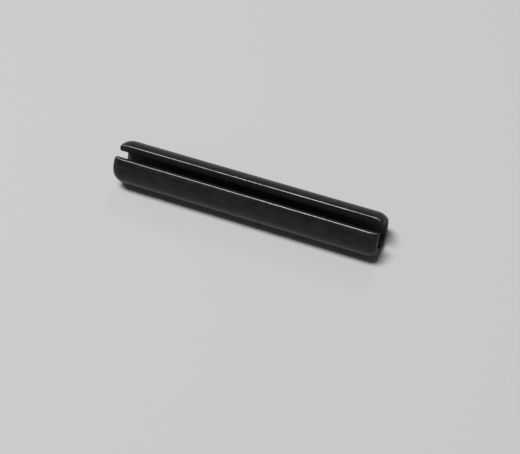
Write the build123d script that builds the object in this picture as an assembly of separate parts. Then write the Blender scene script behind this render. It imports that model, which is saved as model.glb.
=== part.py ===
from build123d import *
from math import asin, degrees, radians, sin, sqrt, tan
import os

# A slotted spring pin, or roll pin, for a 3/16 in hole: one strip of hardened spring steel
# rolled into a tube that doesn't quite close. Driven into its hole, it is squeezed until the
# slot is nearly shut, and the spring of the wall holds it there. Both ends are rounded down
# so that it starts in a hole narrower than itself.
#
# The pin lies along X with the middle of its axis at the origin, and +Z is up. Its slot runs
# the whole length and looks up, turned towards -Y. The lip on the -Y side is the near one.

# Driving dimensions, in millimetres and degrees.
pin_length = 31.75
free_diameter = 5.0
wall = 1.016
end_diameter = 4.16
bevel_length = 1.15
slot_width = 1.83
near_lip_lean = 15.0
far_lip_lean = 2.0
slot_turn = 8.5

# What follows from them.
outer_radius = free_diameter / 2
bore_radius = outer_radius - wall
end_radius = end_diameter / 2


def rolled_tube():
    """The closed tube with its rounded ends: the section of its wall, turned about X.

    The section stands at the top, so that the turn starts and ends where the slot will be.
    """
    half = pin_length / 2
    bevel_start = half - bevel_length
    right_bevel = TangentArc((bevel_start, outer_radius), (half, end_radius), tangent=(1, 0))
    left_bevel = mirror(right_bevel, Plane.YZ)
    outer_line = Line((-bevel_start, outer_radius), (bevel_start, outer_radius))
    rest_of_wall = Polyline(
        (half, end_radius), (half, bore_radius), (-half, bore_radius), (-half, end_radius)
    )
    wall_section = make_face(outer_line + right_bevel + rest_of_wall + left_bevel)
    return revolve(Plane.XZ * wall_section, Axis.X)


def slot_cutter():
    """The gap between the lips as a long wedge, upright here, with its edge inside the bore.

    Each lip's face leans from the line to the axis, in towards the slot, by its own angle.
    The two faces are carried on outward past the tube, and inward until they meet.
    """
    half_width = slot_width / 2
    half_angle = degrees(asin(half_width / outer_radius))
    corner_height = sqrt(outer_radius**2 - half_width**2)
    near_slope = radians(90 - half_angle - near_lip_lean)
    far_slope = radians(90 - half_angle - far_lip_lean)
    depth = slot_width * sin(near_slope) * sin(far_slope) / sin(near_slope + far_slope)
    edge = (depth / tan(near_slope) - half_width, corner_height - depth)
    rise = wall
    near_top = (-half_width - rise / tan(near_slope), corner_height + rise)
    far_top = (half_width + rise / tan(far_slope), corner_height + rise)
    wedge = make_face(Polyline(edge, far_top, near_top, close=True))
    return extrude(Plane.YZ * wedge, pin_length, both=True)


spring_pin = Rot(X=slot_turn) * (rolled_tube() - slot_cutter())
spring_pin.label = "spring_pin"

os.makedirs("parts", exist_ok=True)
export_step(spring_pin, "parts/spring_pin.step")
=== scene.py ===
from math import asin, cos, pi, radians, sin, sqrt

import bpy
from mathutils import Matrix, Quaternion, Vector


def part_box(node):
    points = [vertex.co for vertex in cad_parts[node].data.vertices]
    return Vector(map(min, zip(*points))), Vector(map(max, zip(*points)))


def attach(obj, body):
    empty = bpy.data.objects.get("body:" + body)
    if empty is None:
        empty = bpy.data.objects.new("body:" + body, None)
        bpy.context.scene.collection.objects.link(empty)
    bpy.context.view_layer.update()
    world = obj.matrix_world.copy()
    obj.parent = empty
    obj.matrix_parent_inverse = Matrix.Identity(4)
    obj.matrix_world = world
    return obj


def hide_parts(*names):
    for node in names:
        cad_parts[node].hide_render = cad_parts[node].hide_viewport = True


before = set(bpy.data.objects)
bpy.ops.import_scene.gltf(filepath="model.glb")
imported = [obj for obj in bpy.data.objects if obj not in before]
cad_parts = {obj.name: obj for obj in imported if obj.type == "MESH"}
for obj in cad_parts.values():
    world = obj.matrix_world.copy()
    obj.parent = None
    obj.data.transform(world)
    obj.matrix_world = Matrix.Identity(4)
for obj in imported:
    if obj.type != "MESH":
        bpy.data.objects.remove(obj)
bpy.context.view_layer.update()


# The spring pin. One strip of spring steel is rolled into a tube that doesn't quite close, its
# ends are swaged round, and it is hardened, blackened and oiled. The strip's sheared edges are
# the two lips of the slot, and their outer corners are rubbed bright.

MM = 0.001
pin_low, pin_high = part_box("spring_pin")
half_length = pin_high.x
outer_radius = -pin_low.z
wall_thickness = 1.016 * MM
bore_radius = outer_radius - wall_thickness
end_radius = 2.08 * MM
bevel_length = 1.15 * MM

# The slot's middle is turned from straight up towards the front, where the near lip is. The
# face of each lip leans by its own angle from the line between its outer corner and the axis.
slot_turn = radians(8.5)
slot_half_width = 0.90 * MM
slot_half_angle = asin(slot_half_width / outer_radius)
near_lip_lean = radians(15.0)
far_lip_lean = radians(2.0)
lip_rounding = 0.05 * MM
rim_rounding = 0.035 * MM
least_rounding = 0.012 * MM

# How many faces each stretch of the mesh has.
corner_steps = 5
around_steps = 132
wall_steps = 6
bevel_steps = 14
straight_steps = 80
rim_steps = 4


def bevel_radius(x):
    """The outer radius at x: the free radius, rounded down along an arc near either end."""
    drop = outer_radius - end_radius
    arc_radius = (bevel_length**2 + drop**2) / (2 * drop)
    past = max(abs(x) - (half_length - bevel_length), 0.0)
    return outer_radius - arc_radius + sqrt(arc_radius**2 - past**2)


def stations():
    """Places along the pin, each with how far its section is drawn in by the rounded rims."""
    straight_end = half_length - bevel_length
    rim_start = half_length - rim_rounding
    places = []
    for i in range(straight_steps + 1):
        places.append((straight_end * (2 * i / straight_steps - 1), 0.0))
    for i in range(1, bevel_steps + 1):
        x = straight_end + (rim_start - straight_end) * i / bevel_steps
        places.append((x, 0.0))
        places.insert(0, (-x, 0.0))
    for i in range(1, rim_steps + 1):
        turn = pi / 2 * i / rim_steps
        x = rim_start + rim_rounding * sin(turn)
        inset = rim_rounding * (1 - cos(turn))
        places.append((x, inset))
        places.insert(0, (-x, inset))
    return places


def lip_corner(radius, lean, inset, outward):
    """The rounded corner of a lip on the circle of that radius, on the slot's +1 side.

    Returns its points, from the lip's face to the circle, and the angle where the circle takes
    over. Angles are measured from the middle of the slot.
    """
    rounding = max(lip_rounding - inset, least_rounding)
    face_angle = slot_half_angle + lean
    face_distance = outer_radius * sin(lean) - inset
    centre_radius = radius - outward * rounding
    centre_angle = face_angle - asin((face_distance - rounding) / centre_radius)
    from_bearing = face_angle - pi / 2
    to_bearing = centre_angle if outward > 0 else centre_angle - pi
    points = []
    for i in range(corner_steps + 1):
        bearing = from_bearing + (to_bearing - from_bearing) * i / corner_steps
        across = centre_radius * sin(centre_angle) + rounding * sin(bearing)
        up = centre_radius * cos(centre_angle) + rounding * cos(bearing)
        points.append((across, up))
    return points, centre_angle


def wall_line(radius, inset, outward):
    """The section's outer or bore line, from the far lip round the bottom to the near lip."""
    far_points, far_angle = lip_corner(radius, far_lip_lean, inset, outward)
    near_points, near_angle = lip_corner(radius, near_lip_lean, inset, outward)
    last_angle = 2 * pi - near_angle
    line = list(far_points)
    for i in range(1, around_steps):
        angle = far_angle + (last_angle - far_angle) * i / around_steps
        line.append((radius * sin(angle), radius * cos(angle)))
    line += [(-across, up) for across, up in reversed(near_points)]
    return line


# Wear is 1 where the steel is bare. The bright line on each lip stops short of the pin's left
# and right ends by these two lengths, and fades out beyond them.
far_line_wear = 0.84
near_line_wear = 1.0
beside_line_wear = 0.6
rim_wear = 0.52
far_unrubbed = 0.45 * MM, 0.33 * MM
near_unrubbed = 0.05 * MM, 0.2 * MM
unrubbed_fade = 0.25 * MM

# How much rougher the bore and the cut faces are than the outside.
bore_dullness = 0.6
cut_dullness = 0.24


def build_pin():
    """The rolled tube as one closed mesh, whose points carry the wear and kind of their skin, and
    a painted shading across each lip face.
    """
    rows = stations()
    last = len(rows) - 1
    around_count = around_steps + 2 * corner_steps
    turned = cos(slot_turn), sin(slot_turn)
    sections = []
    for x, inset in rows:
        outer = wall_line(bevel_radius(x) - inset, inset, 1)
        inner = wall_line(bore_radius + inset, inset, -1)
        sections.append((outer, inner))
    points, faces, index = [], [], {}
    rubbed_edge, bore_skin, matt_skin, lip_face_painted_light = [], [], [], []

    def corner_rub(x, j):
        """The wear at place j of the outer line: only the slot's two corners are rubbed."""
        from_lip = min(j, around_count - j)
        if from_lip > corner_steps:
            return 0.0
        on_far_lip = j <= corner_steps
        unrubbed = far_unrubbed if on_far_lip else near_unrubbed
        line_wear = far_line_wear if on_far_lip else near_line_wear
        left = half_length + x - unrubbed[0]
        right = half_length - x - unrubbed[1]
        along = max(0.0, min(1.0, min(left, right) / unrubbed_fade + 1.0))
        across = 1.0 if from_lip < corner_steps else beside_line_wear
        return along * across * line_wear

    def vertex(i, j, k):
        """The point at station i, place j around the section and step k into the wall."""
        key = (i, j, k)
        if key not in index:
            x, inset = rows[i]
            outer, inner = sections[i]
            share = k / wall_steps
            across = outer[j][0] * (1 - share) + inner[j][0] * share
            up = outer[j][1] * (1 - share) + inner[j][1] * share
            y = across * turned[0] - up * turned[1]
            z = across * turned[1] + up * turned[0]
            index[key] = len(points)
            points.append((x, y, z))
            on_lip = j in (0, around_count) and k > 0
            in_bore = k == wall_steps and corner_steps < j < around_count - corner_steps
            corner_wear = corner_rub(x, j) if k == 0 else 0.0
            end_wear = rim_wear if inset > 0 else 0.0
            inner_dullness = bore_dullness if in_bore else cut_dullness
            rubbed_edge.append(max(corner_wear, end_wear))
            bore_skin.append(1.0 if in_bore else 0.0)
            matt_skin.append(inner_dullness if k > 0 else 0.0)
            # On the lip faces this is painted shading: paler by the outer corner and darker
            # towards the bore, where less light falls into the slot.
            lip_face_painted_light.append(1.0 - share if on_lip else 0.0)
        return index[key]

    def skin(at, first_count, second_count):
        """Faces over a grid of points, where at() turns a place on the grid into i, j, k."""
        for a in range(first_count):
            for b in range(second_count):
                ring = at(a, b), at(a + 1, b), at(a + 1, b + 1), at(a, b + 1)
                faces.append(tuple(vertex(*place) for place in ring))

    # The outside and the bore, then the far and near lips, then the left and right end faces.
    skin(lambda a, b: (a, b, 0), last, around_count)
    skin(lambda a, b: (last - a, b, wall_steps), last, around_count)
    skin(lambda a, b: (last - a, 0, b), last, wall_steps)
    skin(lambda a, b: (a, around_count, b), last, wall_steps)
    skin(lambda a, b: (0, a, b), around_count, wall_steps)
    skin(lambda a, b: (last, around_count - a, b), around_count, wall_steps)

    mesh = bpy.data.meshes.new("rolled_pin")
    mesh.from_pydata(points, [], faces)
    mesh.shade_smooth()
    marks = {
        "rubbed_edge": rubbed_edge,
        "bore_skin": bore_skin,
        "matt_skin": matt_skin,
        "lip_face_painted_light": lip_face_painted_light,
    }
    for name, values in marks.items():
        mesh.attributes.new(name, "FLOAT", "POINT").data.foreach_set("value", values)
    return mesh


class Wire:
    """One output of a shader node. Sums on wires add Math nodes, and node() adds any other."""

    def __init__(self, tree, socket=None):
        self.tree = tree
        self.socket = socket

    def node(self, kind, settings, sockets, output=0):
        """Add a node: its settings first, then the values or links of its sockets."""
        added = self.tree.nodes.new(kind)
        for name, value in settings.items():
            setattr(added, name, value)
        for name, value in sockets.items():
            if isinstance(value, Wire):
                self.tree.links.new(value.socket, added.inputs[name])
            else:
                added.inputs[name].default_value = value
        return Wire(self.tree, added.outputs[output] if added.outputs else None)

    def math(self, operation, first, second):
        return self.node("ShaderNodeMath", {"operation": operation}, {0: first, 1: second})

    def __add__(self, other):
        return self.math("ADD", self, other)

    def __radd__(self, other):
        return self.math("ADD", other, self)

    def __sub__(self, other):
        return self.math("SUBTRACT", self, other)

    def __rsub__(self, other):
        return self.math("SUBTRACT", other, self)

    def __mul__(self, other):
        return self.math("MULTIPLY", self, other)

    def __rmul__(self, other):
        return self.math("MULTIPLY", other, self)


def rise(wire, low, high):
    """0 below low and 1 above high, with a smooth rise between."""
    return wire.node(
        "ShaderNodeMapRange",
        {"interpolation_type": "SMOOTHSTEP"},
        {"Value": wire, "From Min": low, "From Max": high},
    )


def upward(wire):
    """How far up a place or a direction is."""
    return wire.node(
        "ShaderNodeVectorMath", {"operation": "DOT_PRODUCT"}, {0: wire, 1: (0, 0, 1)}, "Value"
    )


def stretched(place, along, across):
    """The place on the pin with its length and its section each scaled, in steps per metre."""
    return place.node(
        "ShaderNodeVectorMath", {"operation": "MULTIPLY"}, {0: place, 1: (along, across, across)}
    )


def mottle(place, detail, roughness):
    """Noise at that place, around 0.5."""
    return place.node(
        "ShaderNodeTexNoise",
        {},
        {"Vector": place, "Scale": 1.0, "Detail": detail, "Roughness": roughness},
    )


def mixed(share, first, second):
    """The first colour where share is 0 and the second where it is 1."""
    return share.node(
        "ShaderNodeMix", {"data_type": "RGBA"}, {0: share, 6: first, 7: second}, "Result"
    )


def marked(tree, name):
    """What the mesh's points carry under that name."""
    return Wire(tree).node("ShaderNodeAttribute", {"attribute_name": name}, {}, "Fac")


dark_oxide = (0.015, 0.015, 0.0155, 1)
pale_oxide = (0.026, 0.026, 0.0245, 1)
# The bore's colours: painted shade low down, and above it a paler grey that is partly its own and
# partly painted light.
bore_painted_shade = (0.012, 0.012, 0.014, 1)
bore_grey_and_painted_light = (0.130, 0.132, 0.147, 1)
# The lip faces' grey is partly their own and partly painted light.
face_grey_and_painted_light = (0.045, 0.045, 0.047, 1)
bare_steel = (0.57, 0.575, 0.55, 1)
painted_shade_full_below = -1.4 * MM
painted_shade_gone_above = -1.0 * MM
oxide_roughness = 0.36


def black_steel():
    """Black oxide on spring steel under a film of oil, with bare steel where edges have rubbed,
    painted shade low in the bore and painted light on the upper bore and the lip faces.
    """
    material = bpy.data.materials.new("black_spring_steel")
    material.use_nodes = True
    tree = material.node_tree
    tree.nodes.clear()
    place = Wire(tree).node("ShaderNodeTexCoord", {}, {}, "Object")
    edge = marked(tree, "rubbed_edge")
    bore = marked(tree, "bore_skin")
    dull = marked(tree, "matt_skin")
    face_shading = marked(tree, "lip_face_painted_light")

    # Streaks of the rolled strip along the pin, patches of the bath, and the grain of the oxide.
    streaks = mottle(stretched(place, along=90, across=4500), detail=4.0, roughness=0.6)
    patches = mottle(stretched(place, along=700, across=900), detail=3.0, roughness=0.55)
    grain = mottle(stretched(place, along=14000, across=14000), detail=2.0, roughness=0.5)

    # Low in the bore the colour is darkened: painted shade over the part that the lamp lights
    # through the slot. Above that the bore is painted paler, partly its own dull grey and partly
    # painted light.
    oxide = mixed(rise(patches * 0.5 + streaks * 0.5, 0.38, 0.62), dark_oxide, pale_oxide)
    bore_with_painted_shade = mixed(rise(upward(place), painted_shade_full_below, painted_shade_gone_above), bore_painted_shade, bore_grey_and_painted_light)
    # Each lip face fades from its paler grey at the outer corner to the bore's colour: painted
    # shading, partly the cut face's own grey and partly painted light.
    oxide_and_painted_shading = mixed(face_shading, mixed(bore, oxide, bore_with_painted_shade), face_grey_and_painted_light)
    bare = rise(edge * 1.1 + (patches - 0.5) * 0.3 + (grain - 0.5) * 0.1, 0.75, 1.0)
    uneven = (patches - 0.5) * 0.12 + (streaks - 0.5) * 0.3
    bump = place.node(
        "ShaderNodeBump",
        {},
        {"Height": streaks * 0.5 + grain * 0.5, "Strength": 0.12, "Distance": 0.01 * MM},
    )
    surface = place.node(
        "ShaderNodeBsdfPrincipled",
        {},
        {
            "Base Color": mixed(bare, oxide_and_painted_shading, bare_steel),
            "Metallic": 0.5 + bare * 0.5,
            "Specular Tint": (0.85, 0.85, 0.85, 1),
            "Roughness": oxide_roughness + uneven + bare * 0.12 + dull,
            "Normal": bump,
            "IOR": 1.35,
        },
    )
    place.node("ShaderNodeOutputMaterial", {}, {"Surface": surface})
    return material


pin = bpy.data.objects.new("slotted_pin", build_pin())
bpy.context.scene.collection.objects.link(pin)
pin.data.materials.append(black_steel())
fair_faces = pin.modifiers.new("fair_faces", "WEIGHTED_NORMAL")
fair_faces.keep_sharp = False
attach(pin, "root")
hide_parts("spring_pin")


# The floor is a round sheet of pale matt card, cut far wider than the view. The pin lies on it
# unfixed, and the card isn't part of the pin.

floor_radius = 300 * MM
floor_sides = 96
floor_grey = (0.62, 0.62, 0.62, 1)
floor_rim = []
for i in range(floor_sides):
    bearing = 2 * pi * i / floor_sides
    floor_rim.append((floor_radius * cos(bearing), floor_radius * sin(bearing), pin_low.z))
floor_mesh = bpy.data.meshes.new("floor")
floor_mesh.from_pydata(floor_rim, [], [tuple(range(floor_sides))])
card = bpy.data.materials.new("pale_card")
card.use_nodes = True
card_surface = card.node_tree.nodes["Principled BSDF"]
card_surface.inputs["Base Color"].default_value = floor_grey
card_surface.inputs["Roughness"].default_value = 0.9
card_surface.inputs["Specular IOR Level"].default_value = 0.0
floor_mesh.materials.append(card)
floor = bpy.data.objects.new("floor", floor_mesh)
bpy.context.scene.collection.objects.link(floor)


# The lamps are a broad soft one almost straight above the pin and a weak one high behind it.
# Each has a plain oval face half a metre away, with nothing between it and the pin.

def add_lamp(name, colour, power, distance, wide, deep, lean_left, lean_front):
    """A lamp with a soft oval face, aimed at the pin from straight above, then leant over."""
    lamp = bpy.data.lights.new(name, "AREA")
    lamp.shape = "ELLIPSE"
    lamp.size = wide
    lamp.size_y = deep
    lamp.energy = power
    lamp.color = colour
    holder = bpy.data.objects.new(name, lamp)
    holder.rotation_mode = "QUATERNION"
    turn = Quaternion((0, 1, 0), -lean_left) @ Quaternion((1, 0, 0), lean_front)
    holder.rotation_quaternion = turn
    holder.location = turn @ Vector((0, 0, distance))
    bpy.context.scene.collection.objects.link(holder)


add_lamp(
    "overhead",
    colour=(1.0, 1.0, 1.0),
    power=2.20,
    distance=0.5,
    wide=0.25,
    deep=0.132,
    lean_left=radians(8),
    lean_front=radians(3.6),
)
add_lamp(
    "behind",
    colour=(1.0, 0.99, 0.92),
    power=0.14,
    distance=0.5,
    wide=0.125,
    deep=0.125,
    lean_left=0.0,
    lean_front=radians(-42),
)


# The room gives a little light from all round. To the camera and in gloss its walls show
# brighter than that, and dimmer towards the ceiling than near the floor.

room_tint = (0.995, 0.99, 1.02, 1)
room_light = 0.08
wall_glow = 0.42
ceiling_loss = 0.30
wall_foot = 0.05
wall_top = 0.6

world = bpy.data.worlds.new("room")
world.use_nodes = True
bpy.context.scene.world = world
room = world.node_tree
room.nodes.clear()
paths = room.nodes.new("ShaderNodeLightPath")
seen = Wire(room, paths.outputs["Is Camera Ray"])
seen = seen + Wire(room, paths.outputs["Is Glossy Ray"])
seen = seen + Wire(room, paths.outputs["Is Transmission Ray"])
direction = Wire(room).node("ShaderNodeTexCoord", {}, {}, "Generated")
walls = wall_glow - rise(upward(direction), wall_foot, wall_top) * ceiling_loss
strength = room_light + seen * walls
glow = strength.node("ShaderNodeBackground", {}, {"Color": room_tint, "Strength": strength})
glow.node("ShaderNodeOutputWorld", {}, {"Surface": glow})


# The camera looks down on the pin from the slot's side, tilted a little about its own line of
# sight. Its focal length is given in pixels of a picture that is 520 pixels wide.

picture_width = 520
focal_pixels = 1204.4
sensor_width = 36.0
camera_place = Vector((40.267, -64.81, 110.999)) * MM
camera_aim = Vector((2.009, -1.849, -2.5)) * MM
camera_tilt = radians(-10.242)

lens = bpy.data.cameras.new("camera")
lens.sensor_width = sensor_width
lens.lens = focal_pixels / picture_width * sensor_width
lens.clip_start = 1 * MM
camera = bpy.data.objects.new("camera", lens)
camera.location = camera_place
camera.rotation_mode = "QUATERNION"
upright = (camera_aim - camera_place).to_track_quat("-Z", "Y")
camera.rotation_quaternion = upright @ Quaternion((0, 0, 1), camera_tilt)
bpy.context.scene.collection.objects.link(camera)
bpy.context.scene.camera = camera
bpy.context.scene.view_settings.view_transform = "Standard"
